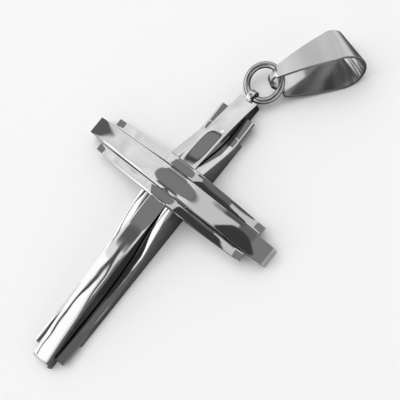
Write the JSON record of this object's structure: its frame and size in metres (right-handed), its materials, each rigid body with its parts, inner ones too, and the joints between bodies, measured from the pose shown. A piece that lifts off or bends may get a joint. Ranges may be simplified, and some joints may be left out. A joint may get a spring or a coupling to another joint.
{
  "type": "cross pendant",
  "caption": "Polished steel cross pendant of sculpted strips laid side by side, with a jump ring and a flared folded bail for a chain",
  "frame": {"origin": "on the flat back of the centre strip, under the middle of the crossing", "axes": "+X along the crossbar to the right seen from the front, +Y along the upright towards the bail, +Z out of the front face"},
  "size_m": [0.0352, 0.0658, 0.0072],
  "materials": {
    "polished_steel": "mirror polished stainless steel",
    "bail_steel": "polished stainless steel strip",
    "ring_wire": "polished stainless steel wire",
    "pin_steel": "plain drawn steel rod"
  },
  "bodies": {
    "root": {"upright_centre": "polished_steel", "upright_left": "polished_steel", "upright_right": "polished_steel", "crossbar_centre": "polished_steel", "crossbar_upper": "polished_steel", "crossbar_lower": "polished_steel", "pin_across": "pin_steel", "pin_along": "pin_steel", "jump_ring": "ring_wire", "bail": "bail_steel"}
  },
  "joints": []
}
